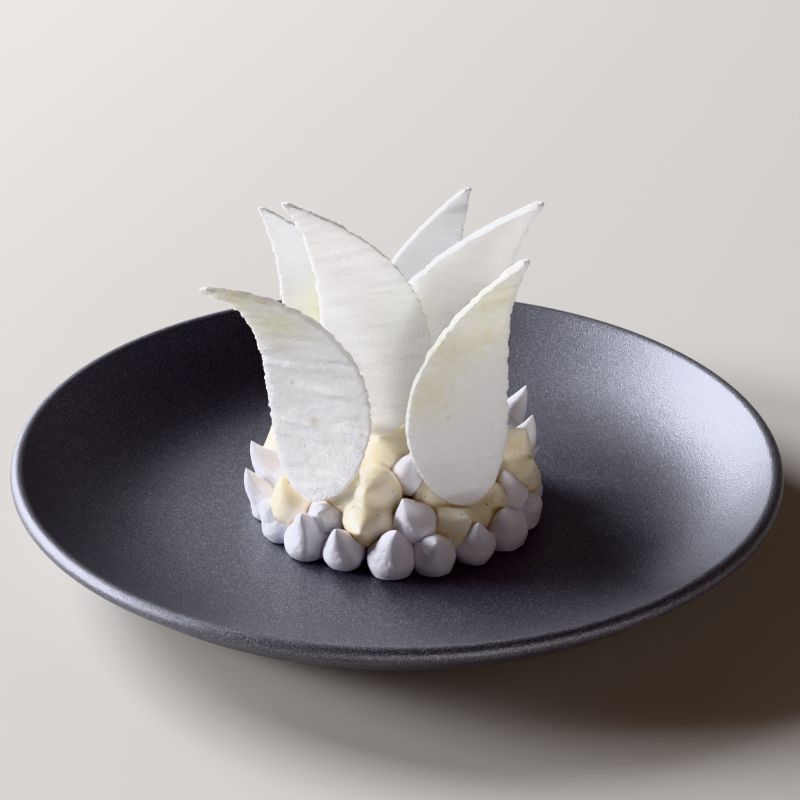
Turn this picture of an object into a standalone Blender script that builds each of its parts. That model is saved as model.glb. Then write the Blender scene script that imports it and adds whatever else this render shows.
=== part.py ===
"""A pavlova built together with its dark coupe plate.

A round mound of piped meringue drops and soft cream dollops covers a dome of
curd in the middle of the plate, and six thin curled meringue sails stand in
it. Units are metres and +Z is up. The front faces -Y, and the origin is on
the table, under the middle of the plate.
"""
import math
import random
from collections import namedtuple

import bmesh
import bpy
from mathutils import Quaternion, Vector
from mathutils.bvhtree import BVHTree

MM = 0.001
GAP = 0.3 * MM                      # air between pieces that press together
MERGE = 0.01 * MM                   # points nearer than this become one
UP = Vector((0, 0, 1))

# Plate: a rimless coupe turned about Z, with a rolled edge and a foot ring
PLATE_RADIUS = 140 * MM
PLATE_HEIGHT = 30.8 * MM
PLATE_THICKNESS = 4.8 * MM
EDGE_RADIUS = 3.0 * MM
EDGE_END = -50                      # degrees, where the rolled edge meets the underside
EDGE_ARCS = 7
WELL_HEIGHT = 7.0 * MM              # top of the flat middle, above the table
WELL_FLAT = 80 * MM                 # radius of the flat middle
WELL_POWER = 2.6                    # how late the side of the well turns up
WELL_SLOPE = 42                     # degrees, where the side meets the edge
WELL_RINGS = (0, 0.2, 0.35, 0.5, 0.65, 0.8, 0.92)   # shares of the side's width
UNDER_RINGS = (0.9, 0.7, 0.5, 0.3)  # the same, under it, from the edge inwards
FOOT_OUTER = 78 * MM
FOOT_INNER = 70 * MM
FOOT_DEPTH = 2.3 * MM
PLATE_STEPS = 72

# Curd: half an ellipsoid that stands on the well
CURD_RADIUS = 38 * MM
CURD_HEIGHT = 20 * MM
CURD_RINGS = 8
CURD_SEGMENTS = 32

# Sails: one leaf outline, bent, leaned and turned for each place
SAIL_THICKNESS = 2.8 * MM
SAIL_TIP = 3.0 * MM                 # width of the blunt tip
SAIL_WIDEST_AT = 0.36               # share of the length
SAIL_SWEEP_FROM = 0.08              # share of the length where the tip starts to swing aside
SAIL_SWEEP_POWER = 2.75
SAIL_TAPER_POWER = 1.7
SAIL_COLUMNS = 5
SAIL_ROWS = 16
SAIL_ROW_CROWDING = 1.6             # over 1 sets the rows closer near the foot

# hand: 1 when the tip swings to the right and -1 to the left. foot: the lowest
# point. turn, lean and roll: degrees about Z, X and the sail's own face.
# curl_radius: of the bend towards the front. curl_skew: degrees by which the
# bend runs across the sail.
Sail = namedtuple("Sail", "hand foot turn lean roll length width sweep curl_radius curl_skew")
SAILS = {
    "sail_front_left": Sail(-1, (-30.5, -31.0, 26.3), -25.0, -20.0, -3.4, 105.4, 39.1, 37.2, 79, -19.8),
    "sail_front_right": Sail(1, (25.9, -31.0, 25.5), 20.0, -17.8, 6.7, 98.3, 39.7, 25.3, 115, 0.3),
    "sail_middle_left": Sail(-1, (-5.1, -6.0, 40.2), 22.4, -4.7, 0.9, 103.4, 40.9, 40.2, 286, -11.2),
    "sail_middle_right": Sail(1, (10.4, 9.5, 29.6), 16.0, -8.4, -1.3, 103.4, 49.0, 33.4, 156, -2.8),
    "sail_back_left": Sail(-1, (-21.6, 11.0, 27.2), 27.5, -7.8, -2.5, 100.3, 40.5, 35.4, 312, -0.9),
    "sail_back_right": Sail(1, (3.3, 29.0, 22.4), 7.7, -7.2, 1.2, 97.3, 39.3, 24.1, 455, 1.4),
}

# Drops and dollops lie in rows round the mound, from the plate up. A row has
# the radius of its ring, the height of its centres above the well, the radius
# of its pieces, the lean of their tips and the azimuth of each piece. In kinds,
# m is a meringue drop and c a cream dollop.
Row = namedtuple("Row", "ring height radius lean kinds azimuths")


def spaced(count, first, last=None):
    """Evenly spaced azimuths, right round or from the first to the last."""
    step = 360 / count if last is None else (last - first) / (count - 1)
    return [first + index * step for index in range(count)]


ROWS = {
    "foot": Row(46.0, 5.9, 8.6, 12, "m" * 18, spaced(18, 187)),
    "lower": Row(39.5, 14.0, 9.3, 25, "cmcmcmccmcmmmcmcm",
                 [161, 181, 209, 231, 256, 279, 301, 325, 342, 354] + spaced(7, 376, 501)),
    "upper": Row(27.5, 22.0, 10.0, 30, "ccmcccmccmcc",
                 [235, 255, 282, 301, 330] + spaced(7, 364, 560)),
    "top": Row(14.0, 26.0, 10.4, 20, "cccc", spaced(4, 250)),
    "crown": Row(0.0, 28.5, 10.0, 0, "c", [270]),
}
# Pieces that stand out from their row: the values that differ. aside leans a
# tip along the ring, in degrees towards lower azimuths.
OWN_FORM = {
    ("foot", 0): {"lean": 32, "peak": 0.9},
    ("foot", 1): {"peak": 0.3},
    ("foot", 2): {"lean": 26, "aside": -8},
    ("foot", 3): {"lean": 30, "aside": 6, "radius": 7.7},
    ("foot", 4): {"lean": 24, "aside": -5, "radius": 8.8},
    ("foot", 5): {"lean": 42, "aside": 8, "peak": 0.5},
    ("foot", 6): {"lean": 26, "aside": 14, "peak": 0.85, "radius": 7.9},
    ("foot", 7): {"lean": 16, "aside": 30},
    ("foot", 8): {"lean": 22, "aside": 32, "peak": 0.4},
    ("foot", 9): {"peak": 0.2},
    ("foot", 17): {"peak": 0.3},
    ("lower", 0): {"ring": 43, "height": 15},
    ("lower", 1): {"ring": 42, "height": 13, "lean": 50, "peak": 0.95},
    ("lower", 2): {"ring": 42, "height": 12.3},
    ("lower", 3): {"ring": 39, "height": 12.6, "radius": 7.8, "peak": 0.15},
    ("lower", 4): {"ring": 37, "height": 13, "radius": 9.4, "lean": 80, "aside": 30},
    ("lower", 5): {"ring": 38, "height": 14.6, "radius": 8.4, "aside": 24},
    ("lower", 6): {"ring": 39, "height": 11.2, "radius": 9.6, "lean": 60},
    ("lower", 7): {"ring": 37.5, "height": 13.2, "peak": 0.25},
    ("lower", 8): {"ring": 43, "height": 13, "radius": 6.6, "lean": 0, "aside": 22, "peak": 0.95},
    ("lower", 9): {"ring": 43, "height": 14, "radius": 9.6, "peak": 0.2},
    ("lower", 10): {"ring": 43, "height": 15, "lean": 40, "peak": 0.95},
    ("lower", 11): {"ring": 48, "height": 18, "lean": 55, "peak": 1.0},
    ("upper", 0): {"ring": 31, "height": 21},
    ("upper", 1): {"ring": 30, "radius": 9.9, "lean": 65},
    ("upper", 2): {"ring": 23, "height": 26, "radius": 7.8, "aside": 10},
    ("upper", 3): {"ring": 31, "height": 19.5, "peak": 0.15},
    ("upper", 5): {"ring": 40, "height": 20},
    ("upper", 8): {"ring": 34, "height": 20.5},
    ("crown", 0): {"peak": 0.15},
}
PEAKS = {"m": 0.78, "c": 0.42}      # length of a tip beyond the ball, in radii
PEAK_WIDTH = 17                     # degrees from the tip where the peak has lost most of its height
PEAK_POWER = 1.2                    # 1 gives a needle and 2 a round bump
TIP_CLEARANCE = 0.5 * MM            # by which a tip's end clears what its piece is pressed against
TIP_TURNS = 30                      # small turns in which it gets clear
SIZE_SPREAD = 0.03                  # share by which sizes vary
TURN_SPREAD = 1.0                   # degrees
LEAN_SPREAD = 6.0                   # degrees
KEEP_OFF_SAIL = 5.5 * MM            # a centre is never nearer to a sail
CORNER_REACH = 4 * MM               # corners of a sail this far beyond a piece still bound it
BLOB_SEGMENTS = 12
BLOB_RINGS = 7
BLOB_RING_CROWDING = 1.35           # over 1 sets the rings closer near the tip
RANDOM_SEED = 11

Finish = namedtuple("Finish", "colour roughness")
GLAZE = Finish((0.022, 0.023, 0.030), 0.42)
CURD = Finish((0.80, 0.42, 0.06), 0.45)
MERINGUE = Finish((0.86, 0.86, 0.87), 0.62)
CREAM = Finish((0.86, 0.78, 0.56), 0.40)

Blob = namedtuple("Blob", "kind centre radius tip peak")


def clear_scene():
    for item in list(bpy.data.objects):
        bpy.data.objects.remove(item, do_unlink=True)


def make_material(name, finish):
    material = bpy.data.materials.new(name)
    material.use_nodes = True
    shader = material.node_tree.nodes["Principled BSDF"]
    shader.inputs["Base Color"].default_value = (*finish.colour, 1)
    shader.inputs["Roughness"].default_value = finish.roughness
    shader.inputs["Metallic"].default_value = 0
    material.diffuse_color = (*finish.colour, 1)
    return material


def add_object(name, shape, finish, collection):
    """Turn a bmesh into a named, smooth-shaded object with its own material."""
    mesh = bpy.data.meshes.new(name)
    shape.to_mesh(mesh)
    shape.free()
    mesh.shade_smooth()
    mesh.materials.append(make_material(name, finish))
    item = bpy.data.objects.new(name, mesh)
    collection.objects.link(item)
    return item


# ---- plate ----------------------------------------------------------------

def well_end():
    """Where the side of the well meets the rolled edge, as radius and height."""
    edge_x = PLATE_RADIUS - EDGE_RADIUS
    edge_z = PLATE_HEIGHT - EDGE_RADIUS
    start = math.radians(90 + WELL_SLOPE)
    return edge_x + EDGE_RADIUS * math.cos(start), edge_z + EDGE_RADIUS * math.sin(start)


def well_point(share, below=0.0):
    """A point of the well's side, share 0 at the flat and 1 at the edge, or one under it."""
    end_x, end_z = well_end()
    run, rise = end_x - WELL_FLAT, end_z - WELL_HEIGHT
    slope = math.atan(WELL_POWER * rise / run * share ** (WELL_POWER - 1))
    x = WELL_FLAT + run * share + below * math.sin(slope)
    z = WELL_HEIGHT + rise * share ** WELL_POWER - below * math.cos(slope)
    return x, z


def plate_profile():
    """Half section, from the middle of the well over the edge and down to the foot."""
    points = [(0, WELL_HEIGHT)]
    points += [well_point(share) for share in WELL_RINGS]
    edge_x, edge_z = PLATE_RADIUS - EDGE_RADIUS, PLATE_HEIGHT - EDGE_RADIUS
    for step in range(EDGE_ARCS + 1):
        angle = math.radians(90 + WELL_SLOPE + (EDGE_END - 90 - WELL_SLOPE) * step / EDGE_ARCS)
        points.append((edge_x + EDGE_RADIUS * math.cos(angle), edge_z + EDGE_RADIUS * math.sin(angle)))
    points += [well_point(share, PLATE_THICKNESS) for share in UNDER_RINGS]
    points += [(FOOT_OUTER, 0), (FOOT_INNER, 0), (FOOT_INNER - FOOT_DEPTH, FOOT_DEPTH), (0, FOOT_DEPTH)]
    return points


def add_plate(collection):
    shape = bmesh.new()
    corners = [shape.verts.new((x, 0, z)) for x, z in plate_profile()]
    for first, second in zip(corners, corners[1:]):
        shape.edges.new((first, second))
    plate = add_object("plate", shape, GLAZE, collection)
    turning = plate.modifiers.new("turn", "SCREW")
    turning.axis = "Z"
    turning.angle = math.tau
    turning.steps = turning.render_steps = PLATE_STEPS
    turning.use_merge_vertices = True
    turning.merge_threshold = MERGE
    turning.use_smooth_shade = True
    return plate


# ---- curd -----------------------------------------------------------------

def add_curd(collection):
    """A dome: a ball whose lower half is pressed flat just above the well."""
    shape = bmesh.new()
    bmesh.ops.create_uvsphere(shape, u_segments=CURD_SEGMENTS, v_segments=2 * CURD_RINGS, radius=1)
    below = [vertex for vertex in shape.verts if vertex.co.z < -MERGE]
    bmesh.ops.delete(shape, geom=below, context="VERTS")
    rim = [edge for edge in shape.edges if edge.is_boundary]
    bmesh.ops.contextual_create(shape, geom=rim)
    for vertex in shape.verts:
        vertex.co = vertex.co * Vector((CURD_RADIUS, CURD_RADIUS, 0)) + UP * vertex.co.z * CURD_HEIGHT
    bmesh.ops.recalc_face_normals(shape, faces=shape.faces)
    curd = add_object("curd_core", shape, CURD, collection)
    curd.location = (0, 0, WELL_HEIGHT + GAP)
    return curd


# ---- sails ----------------------------------------------------------------

def leaf_point(sail, across, along):
    """A point of the flat leaf. across runs from -1 to 1 and along from 0 to 1."""
    if along <= SAIL_WIDEST_AT:
        short = 1 - along / SAIL_WIDEST_AT
        half = sail.width / 2 * math.sqrt(max(0, 1 - short ** 2))
    else:
        past = (along - SAIL_WIDEST_AT) / (1 - SAIL_WIDEST_AT)
        tip = SAIL_TIP / MM / 2
        half = tip + (sail.width / 2 - tip) * (1 - past ** SAIL_TAPER_POWER)
    swing = max(0, (along - SAIL_SWEEP_FROM) / (1 - SAIL_SWEEP_FROM)) ** SAIL_SWEEP_POWER
    return across * half - sail.sweep * swing, along * sail.length


def curled(sail, side, height):
    """Bend a flat point towards the front, round an axis skewed by curl_skew."""
    skew = math.radians(sail.curl_skew)
    run = height * math.cos(skew) + side * math.sin(skew)
    rest = side * math.cos(skew) - height * math.sin(skew)
    angle = max(run, 0) / sail.curl_radius
    run = min(run, 0) + sail.curl_radius * math.sin(angle)
    forward = sail.curl_radius * (1 - math.cos(angle))
    height = run * math.cos(skew) - rest * math.sin(skew)
    side = run * math.sin(skew) + rest * math.cos(skew)
    return Vector((-sail.hand * side, -forward, height)) * MM


def add_sail(name, sail, collection):
    shape = bmesh.new()
    bmesh.ops.create_grid(shape, x_segments=SAIL_COLUMNS, y_segments=SAIL_ROWS, size=1)
    for vertex in shape.verts:
        along = ((vertex.co.y + 1) / 2) ** SAIL_ROW_CROWDING
        side, height = leaf_point(sail, vertex.co.x, along)
        vertex.co = curled(sail, side, height)
    bmesh.ops.remove_doubles(shape, verts=shape.verts, dist=MERGE)
    leaf = add_object(name, shape, MERINGUE, collection)
    leaf.rotation_mode = "YXZ"
    leaf.rotation_euler = [math.radians(angle) for angle in (sail.lean, -sail.roll, sail.turn)]
    leaf.location = Vector(sail.foot) * MM
    solid = leaf.modifiers.new("thickness", "SOLIDIFY")
    solid.thickness = SAIL_THICKNESS
    solid.offset = 0
    return leaf


# ---- drops and dollops ----------------------------------------------------

class Obstacle:
    """A finished piece that the drops and dollops press against."""

    def __init__(self, item):
        seen = item.evaluated_get(bpy.context.evaluated_depsgraph_get())
        mesh = seen.to_mesh()
        self.corners = [seen.matrix_world @ vertex.co for vertex in mesh.vertices]
        faces = [tuple(face.vertices) for face in mesh.polygons]
        self.tree = BVHTree.FromPolygons(self.corners, faces)
        seen.to_mesh_clear()

    def pushed_off(self, centre, distance):
        """The centre, moved straight away from the piece where it is too near."""
        nearest, _, _, apart = self.tree.find_nearest(centre)
        if apart >= distance:
            return centre
        return centre + (centre - nearest).normalized() * (distance - apart)

    def wall(self, centre, reach):
        """The plane between a blob and the piece, as direction and distance from the centre."""
        nearest, _, _, apart = self.tree.find_nearest(centre)
        if apart > reach:
            return None
        direction = (nearest - centre).normalized()
        near = reach + CORNER_REACH
        close = [corner for corner in self.corners if (corner - centre).length < near]
        distance = min([apart] + [(corner - centre).dot(direction) for corner in close])
        return direction, distance - GAP


def plan_blobs(sails):
    """Centre, size and tip of every drop and dollop, row by row."""
    draw = random.Random(RANDOM_SEED)
    blobs = []
    for row_name, row in ROWS.items():
        for index, (kind, azimuth) in enumerate(zip(row.kinds, row.azimuths)):
            form = {**row._asdict(), "aside": 0, "peak": PEAKS[kind]}
            form.update(OWN_FORM.get((row_name, index), {}))
            azimuth = math.radians(azimuth + draw.uniform(-1, 1) * TURN_SPREAD)
            outward = Vector((math.cos(azimuth), math.sin(azimuth), 0))
            centre = (outward * form["ring"] + UP * form["height"]) * MM + UP * WELL_HEIGHT
            for sail in sails:
                centre = sail.pushed_off(centre, KEEP_OFF_SAIL)
            radius = form["radius"] * MM * (1 + draw.uniform(-1, 1) * SIZE_SPREAD)
            lean = math.radians(form["lean"] + draw.uniform(-1, 1) * LEAN_SPREAD)
            aside = math.radians(form["aside"] + draw.uniform(-1, 1) * LEAN_SPREAD)
            tip = Quaternion(outward, aside) @ (UP * math.cos(lean) + outward * math.sin(lean))
            blobs.append(Blob(kind, centre, radius, tip, form["peak"]))
    return blobs


def walls_round(blob, blobs, obstacles):
    """Every plane that the blob is pressed flat against."""
    reach = blob.radius * (1 + blob.peak)
    walls = [(-UP, blob.centre.z - WELL_HEIGHT - GAP)]
    for other in blobs:
        between = other.centre - blob.centre
        apart = between.length
        if other is blob or apart > reach + other.radius * (1 + other.peak):
            continue
        share = (apart ** 2 + blob.radius ** 2 - other.radius ** 2) / (2 * apart)
        walls.append((between / apart, share - GAP / 2))
    walls += [wall for wall in (piece.wall(blob.centre, reach) for piece in obstacles) if wall]
    return walls


def cleared_tip(blob, walls):
    """The tip, turned away from the planes until they no longer cut its end off."""
    tip, length = blob.tip, blob.radius * (1 + blob.peak)
    for _ in range(TIP_TURNS):
        towards, limit = max(walls, key=lambda wall: tip.dot(wall[0]) * length - wall[1])
        over = tip.dot(towards) * length - limit + TIP_CLEARANCE
        if over <= 0:
            break
        tip = (tip - towards * over / length).normalized()
    return tip


def blob_distance(blob, direction, walls):
    """How far the surface lies from the centre in one direction."""
    off_tip = math.degrees(blob.tip.angle(direction))
    drawn_out = blob.peak * math.exp(-(off_tip / PEAK_WIDTH) ** PEAK_POWER)
    distance = blob.radius * (1 + drawn_out)
    for towards, limit in walls:
        facing = towards.dot(direction)
        if facing * distance > limit:
            distance = limit / facing
    return distance


def add_blob(name, blob, walls, collection):
    """A ball with a drawn-out tip, its rings set closer near the tip."""
    shape = bmesh.new()
    bmesh.ops.create_uvsphere(shape, u_segments=BLOB_SEGMENTS, v_segments=BLOB_RINGS, radius=1)
    to_tip = UP.rotation_difference(blob.tip)
    for vertex in shape.verts:
        from_pole = math.acos(max(-1, min(1, vertex.co.z)))
        off_tip = math.pi * (from_pole / math.pi) ** BLOB_RING_CROWDING
        round_tip = math.atan2(vertex.co.y, vertex.co.x)
        flat = math.sin(off_tip)
        direction = Vector((flat * math.cos(round_tip), flat * math.sin(round_tip), math.cos(off_tip)))
        direction = to_tip @ direction
        vertex.co = direction * blob_distance(blob, direction, walls)
    item = add_object(name, shape, MERINGUE if blob.kind == "m" else CREAM, collection)
    item.location = blob.centre
    return item


def add_blobs(sails, curd, collection):
    blobs = plan_blobs(sails)
    obstacles = sails + [curd]
    counts = {"m": 0, "c": 0}
    for blob in blobs:
        counts[blob.kind] += 1
        kind = "meringue_drop" if blob.kind == "m" else "cream_dollop"
        name = f"{kind}_{counts[blob.kind]:02d}"
        walls = walls_round(blob, blobs, obstacles)
        add_blob(name, blob._replace(tip=cleared_tip(blob, walls)), walls, collection)


def main():
    clear_scene()
    collection = bpy.data.collections.new("pavlova")
    bpy.context.scene.collection.children.link(collection)
    add_plate(collection)
    curd = add_curd(collection)
    leaves = [add_sail(name, sail, collection) for name, sail in SAILS.items()]
    bpy.context.view_layer.update()
    add_blobs([Obstacle(leaf) for leaf in leaves], Obstacle(curd), collection)


main()
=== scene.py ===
# %% [markdown]
# # A pavlova with meringue sails
#
# The real dessert is a mound of piped meringue drops and soft vanilla cream over
# a dome of curd. Six thin leaves of baked meringue stand in it like sails, and a
# dark coupe plate carries it all. Every piece is there in the frame as a plain
# solid, true in place and size. This lesson gives each one its fine shape and
# its finish. The frame is loaded first, because whatever is made here has to
# stay where its solid is.

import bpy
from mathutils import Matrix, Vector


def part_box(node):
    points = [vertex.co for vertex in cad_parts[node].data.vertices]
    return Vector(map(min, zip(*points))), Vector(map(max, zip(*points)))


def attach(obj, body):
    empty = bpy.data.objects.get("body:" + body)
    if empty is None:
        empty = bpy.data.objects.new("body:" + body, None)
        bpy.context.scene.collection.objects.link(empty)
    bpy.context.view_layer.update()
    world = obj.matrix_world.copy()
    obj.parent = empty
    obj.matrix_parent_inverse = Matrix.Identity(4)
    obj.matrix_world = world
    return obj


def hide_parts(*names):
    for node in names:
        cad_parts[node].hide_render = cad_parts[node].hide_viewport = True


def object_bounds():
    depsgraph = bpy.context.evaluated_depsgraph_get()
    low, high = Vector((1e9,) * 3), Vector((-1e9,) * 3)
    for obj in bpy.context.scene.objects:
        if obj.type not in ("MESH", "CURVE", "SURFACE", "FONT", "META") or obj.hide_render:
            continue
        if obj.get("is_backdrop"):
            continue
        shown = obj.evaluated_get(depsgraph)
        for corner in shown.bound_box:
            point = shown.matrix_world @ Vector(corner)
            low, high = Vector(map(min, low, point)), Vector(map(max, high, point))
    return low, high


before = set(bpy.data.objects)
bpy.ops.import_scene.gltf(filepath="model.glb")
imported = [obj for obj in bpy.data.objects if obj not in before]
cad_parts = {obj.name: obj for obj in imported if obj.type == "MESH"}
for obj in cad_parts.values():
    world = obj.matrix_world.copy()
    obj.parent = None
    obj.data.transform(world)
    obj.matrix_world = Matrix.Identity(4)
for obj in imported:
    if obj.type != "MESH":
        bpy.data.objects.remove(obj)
CAD_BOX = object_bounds()
print("solids in the frame:", len(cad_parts))

# %% Modules and units
import math
import random
from collections import namedtuple

import bmesh
import bpy
import numpy as np
from mathutils import Euler, Quaternion, Vector, noise
from mathutils.bvhtree import BVHTree
from mathutils.kdtree import KDTree

MM = 0.001
GAP = 0.3 * MM                      # air between pieces that press together
UP = Vector((0, 0, 1))
scene = bpy.context.scene
print("their box, mm:", [round(side / MM, 1) for side in CAD_BOX[1] - CAD_BOX[0]])

# %% [markdown]
# ## Camera, floor and light
#
# The dessert is seen from about 27 degrees above, from far enough away that near
# and far drops look almost alike in size, so the lens is a long one. The camera
# leans by less than half a degree, as a hand-held one does. A look-at constraint
# would do too, but writing the direction down keeps the view exact.

# %% Camera
VIEW_ELEVATION = math.radians(26.741)
VIEW_ROLL = math.radians(0.448)
VIEW_DISTANCE = 1.1
VIEW_TARGET = Vector((0.00088, 0, 0.05133))
LENS = 137.26                       # mm
SENSOR = 36                         # mm across

ahead = Vector((0, math.cos(VIEW_ELEVATION), -math.sin(VIEW_ELEVATION)))
camera = bpy.data.objects.new("camera", bpy.data.cameras.new("camera"))
camera.data.sensor_width = SENSOR
camera.data.lens = LENS
camera.rotation_mode = "QUATERNION"
camera.rotation_quaternion = ahead.to_track_quat("-Z", "Y") @ Quaternion((0, 0, 1), VIEW_ROLL)
camera.location = VIEW_TARGET - ahead * VIEW_DISTANCE
scene.collection.objects.link(camera)
scene.camera = camera
print("camera stands at", [round(part, 3) for part in camera.location])

# %% [markdown]
# White food on a dark plate is all about the light. Two panes of a low, cool
# window stand on the left, behind the dessert, so every piece is bright on its
# left, the thin sails glow, and the far right of the plate mirrors a pane. A dim
# pale wall behind is there for the plate to mirror too. At the front a weak warm
# card and a low strip lift the shaded faces. The strip stands hardly higher than
# the plate, so it lights what stands up and leaves the shadow on the table deep.
# Area lamps are used because their size sets how soft a shadow's edge is.
#
# The view transform keeps white meringue white instead of grey. Light goes to
# and fro between the white pieces many times, so more bounces are followed than
# is usual, or the gaps between the sails would go dark.

# %% Lamps
AIM = Vector((0, 0, 0.05))
DAYLIGHT = (0.94, 0.96, 1.03)
ROOM_COLOUR = (1.0, 0.5, 0.25, 1)
ROOM_STRENGTH = 0.03


def add_softbox(name, azimuth, elevation, distance, size, watts, colour):
    """A flat area lamp that looks at the dessert. Azimuth 0 is +X and 90 is +Y, in degrees."""
    turn, rise = math.radians(azimuth), math.radians(elevation)
    level = math.cos(rise)
    towards = Vector((math.cos(turn) * level, math.sin(turn) * level, math.sin(rise)))
    lamp = bpy.data.objects.new(name, bpy.data.lights.new(name, "AREA"))
    lamp.data.shape = "RECTANGLE"
    lamp.data.size, lamp.data.size_y = size
    lamp.data.energy = watts
    lamp.data.color = colour
    lamp.location = AIM + towards * distance
    lamp.rotation_mode = "QUATERNION"
    lamp.rotation_quaternion = towards.to_track_quat("Z", "Y")
    scene.collection.objects.link(lamp)
    print(name, "at", [round(part, 2) for part in lamp.location], "m,", watts, "W")


add_softbox("far_pane", 140, 25, 4.2, (2.32, 1.33), 345, DAYLIGHT)
add_softbox("near_pane", 175, 15, 4.2, (1.57, 1.18), 248, DAYLIGHT)
add_softbox("wall", 80, 28, 3.0, (5.0, 2.0), 8.0, (1.0, 1.0, 1.0))
add_softbox("card", 312, 9, 0.75, (0.7, 0.28), 1.2, (1.0, 0.90, 0.86))
add_softbox("strip", 280, 0.3, 1.6, (0.5, 0.08), 5.8, (0.96, 0.97, 1.0))

world = bpy.data.worlds.new("studio")
world.use_nodes = True
room = world.node_tree.nodes["Background"]
room.inputs["Color"].default_value = ROOM_COLOUR
room.inputs["Strength"].default_value = ROOM_STRENGTH
scene.world = world
scene.view_settings.view_transform = "Khronos PBR Neutral"
scene.cycles.max_bounces = 16
scene.cycles.diffuse_bounces = 12

# %% [markdown]
# ## Shader maths as plain expressions
#
# A node tree is a formula drawn with boxes. Here it is written as a formula: a
# `Wire` stands for one output socket, and a sum written with it adds the node
# that works the sum out. Colours go through a Mix node and vectors through
# Vector Math, because a Math node would turn them grey.

# %% Wires
def plug(socket, value):
    """Link a wire into a socket, or write a number, a vector or a colour on it."""
    if isinstance(value, Wire):
        socket.id_data.links.new(value.socket, socket)
    elif socket.type == "RGBA":
        colour = (value,) * 3 if isinstance(value, (int, float)) else value
        socket.default_value = (*colour, 1)
    elif socket.type == "VECTOR" and isinstance(value, (int, float)):
        socket.default_value = (value,) * 3
    else:
        socket.default_value = value


class Wire:
    """One output socket. The operators on it add the nodes that do the sum."""

    def __init__(self, socket):
        self.socket = socket

    def joined(self, operation, first, second):
        kinds = {part.socket.type for part in (first, second) if isinstance(part, Wire)}
        nodes = self.socket.id_data.nodes
        if "RGBA" in kinds:
            made = nodes.new("ShaderNodeMix")
            made.data_type = "RGBA"
            made.blend_type = operation
            made.inputs[0].default_value = 1
            sockets, result = made.inputs[6:8], made.outputs[2]
        else:
            made = nodes.new("ShaderNodeVectorMath" if "VECTOR" in kinds else "ShaderNodeMath")
            made.operation = operation
            sockets, result = made.inputs[0:2], made.outputs[0]
        for socket, part in zip(sockets, (first, second)):
            plug(socket, part)
        return Wire(result)

    def __add__(self, other):
        return self.joined("ADD", self, other)

    def __sub__(self, other):
        return self.joined("SUBTRACT", self, other)

    def __rsub__(self, other):
        return self.joined("SUBTRACT", other, self)

    def __mul__(self, other):
        return self.joined("MULTIPLY", self, other)

    __radd__ = __add__
    __rmul__ = __mul__


print("wires add with + and -, and scale with *")

# %% [markdown]
# A finish starts from the main shader of a new material. What is the same all
# over is written on that shader's own sockets, and only what changes over the
# surface is wired. Sizes of grain are given in metres as the real grain measures.

# %% Finishes
class Finish:
    """A material under construction."""

    def __init__(self, name, fixed):
        self.material = bpy.data.materials.new(name)
        self.material.use_nodes = True
        self.tree = self.material.node_tree
        self.shader = self.tree.nodes["Principled BSDF"]
        self.place = self.node("TexCoord", out="Object")
        self.vary(fixed)

    def vary(self, values):
        for socket, value in values.items():
            plug(self.shader.inputs[socket], value)

    def node(self, kind, settings=None, values=None, out=0):
        """Add any node: settings first, then the values or wires of its sockets."""
        made = self.tree.nodes.new("ShaderNode" + kind)
        for setting, value in (settings or {}).items():
            setattr(made, setting, value)
        for socket, value in (values or {}).items():
            plug(made.inputs[socket], value)
        return Wire(made.outputs[out])

    def grain(self, size, detail=2.0, squeeze=(1, 1, 1)):
        """Cloudy noise around 0.5. Clouds are size metres wide, and longer where squeeze is low."""
        return self.node("TexNoise", {},
                         {"Vector": self.place * squeeze, "Scale": 1 / size, "Detail": detail})

    def step(self, value, low, high):
        """0 below low, 1 above high and smooth between them."""
        return self.node("MapRange", {"interpolation_type": "SMOOTHSTEP"},
                         {"Value": value, "From Min": low, "From Max": high})

    def blend(self, share, first, second):
        """The first colour where share is 0 and the second where it is 1."""
        return self.node("Mix", {"data_type": "RGBA"}, {0: share, 6: first, 7: second}, out=2)

    def mark(self, name):
        """A value that the mesh carries at each of its points."""
        return self.node("Attribute", {"attribute_name": name}, out="Fac")

    def relief(self, height):
        """Bump from a height in millimetres."""
        return self.node("Bump", {}, {"Height": height, "Distance": MM}, out="Normal")


print("a finish has the nodes: grain, step, blend, mark and relief")

# %% [markdown]
# ## The floor
#
# The table is a plain pale surface that runs out of the frame on every side. One
# large plane is enough, with faint warm clouds so that it isn't one flat tone.

# %% Floor
FLOOR_WIDTH = 12
bpy.ops.mesh.primitive_plane_add(size=FLOOR_WIDTH)
floor = bpy.context.object
floor.name = "floor"
paper = Finish("pale_floor", {"Roughness": 0.85, "Specular IOR Level": 0.2})
paper.vary({
    "Base Color": paper.blend(paper.grain(0.5), (0.575, 0.547, 0.500), (0.592, 0.564, 0.516)),
})
floor.data.materials.append(paper.material)
floor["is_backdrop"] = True
print("floor:", FLOOR_WIDTH, "m wide")

# %% [markdown]
# ## Skins
#
# Drops, sails and curd are all closed skins over rows of points. The points of a
# row run round the piece, and the rows run from one end to the other. Where a
# whole row falls together in one point, or two sides meet in one edge, the weld
# closes the skin.

# %% Skins and dressing
WELD = 0.002 * MM
SEED_STEP = (7.31, 3.17, 5.23)      # from the clouds of one seed to those of the next


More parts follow.
